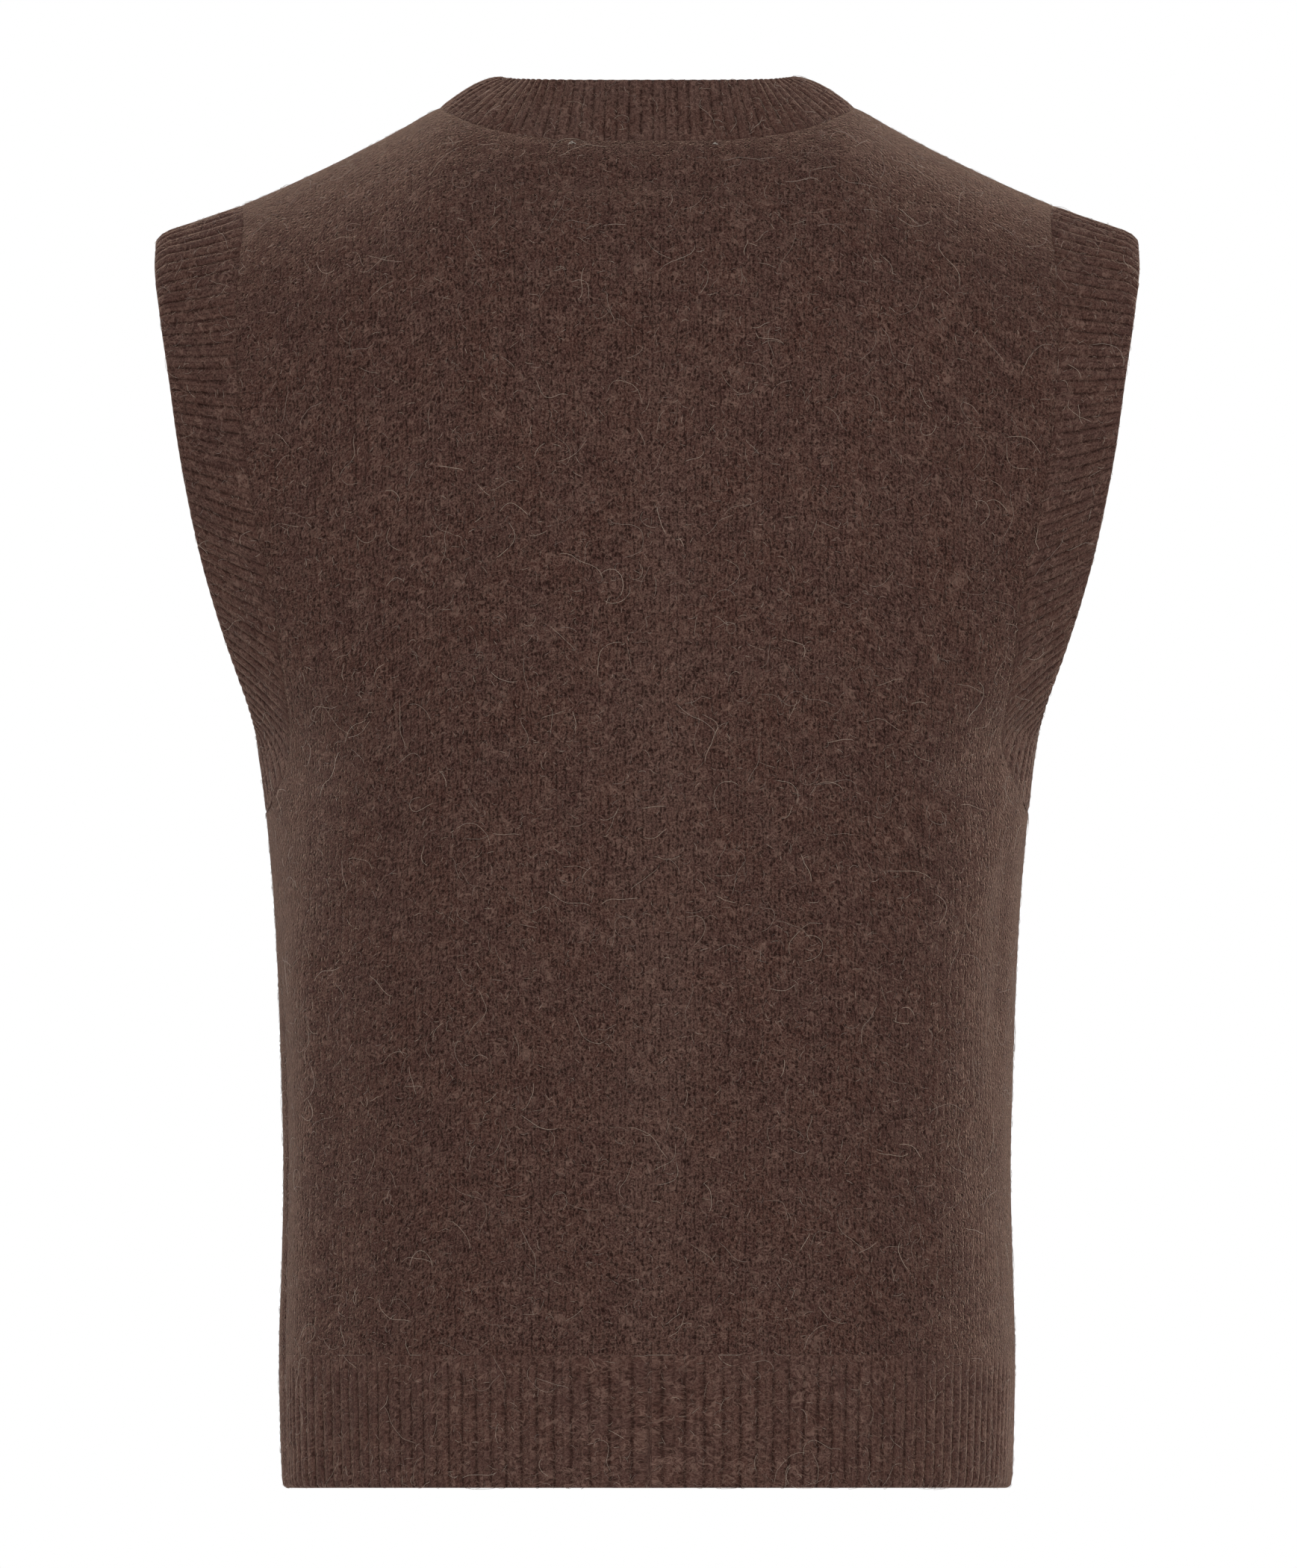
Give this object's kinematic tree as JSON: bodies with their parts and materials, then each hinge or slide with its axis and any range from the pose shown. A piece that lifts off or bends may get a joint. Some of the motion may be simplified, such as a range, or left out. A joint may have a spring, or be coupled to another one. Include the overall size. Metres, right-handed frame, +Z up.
{
  "type": "sleeveless knitted cardigan",
  "caption": "Sleeveless V-neck cardigan in brushed knit, hollow as worn, with ribbed neck, fronts, armholes and hem and a buttoned front.",
  "frame": {"origin": "midway between the neck ends of the two shoulder seams, where the wearer's shoulders hold the garment up", "axes": "+Z up, -Y towards the garment's front, +Y towards its back, +X towards the wearer's left"},
  "size_m": [0.4186, 0.2294, 0.6009],
  "materials": {
    "knit_body": "brushed melange wool-blend plain knit, dark brown",
    "knit_rib": "brushed melange wool-blend 1x1 rib, dark brown",
    "button": "mottled horn-look resin, dark brown"
  },
  "bodies": {
    "root": {"back": "knit_body", "front_left": "knit_body", "front_right": "knit_body", "hem_rib_back": "knit_rib", "hem_rib_front_left": "knit_rib", "hem_rib_front_right": "knit_rib", "neck_band": "knit_rib", "button_band": "knit_rib", "buttonhole_band": "knit_rib", "armhole_band_left": "knit_rib", "armhole_band_right": "knit_rib", "button_1": "button", "button_2": "button", "button_3": "button", "button_4": "button", "button_5": "button"}
  },
  "joints": []
}
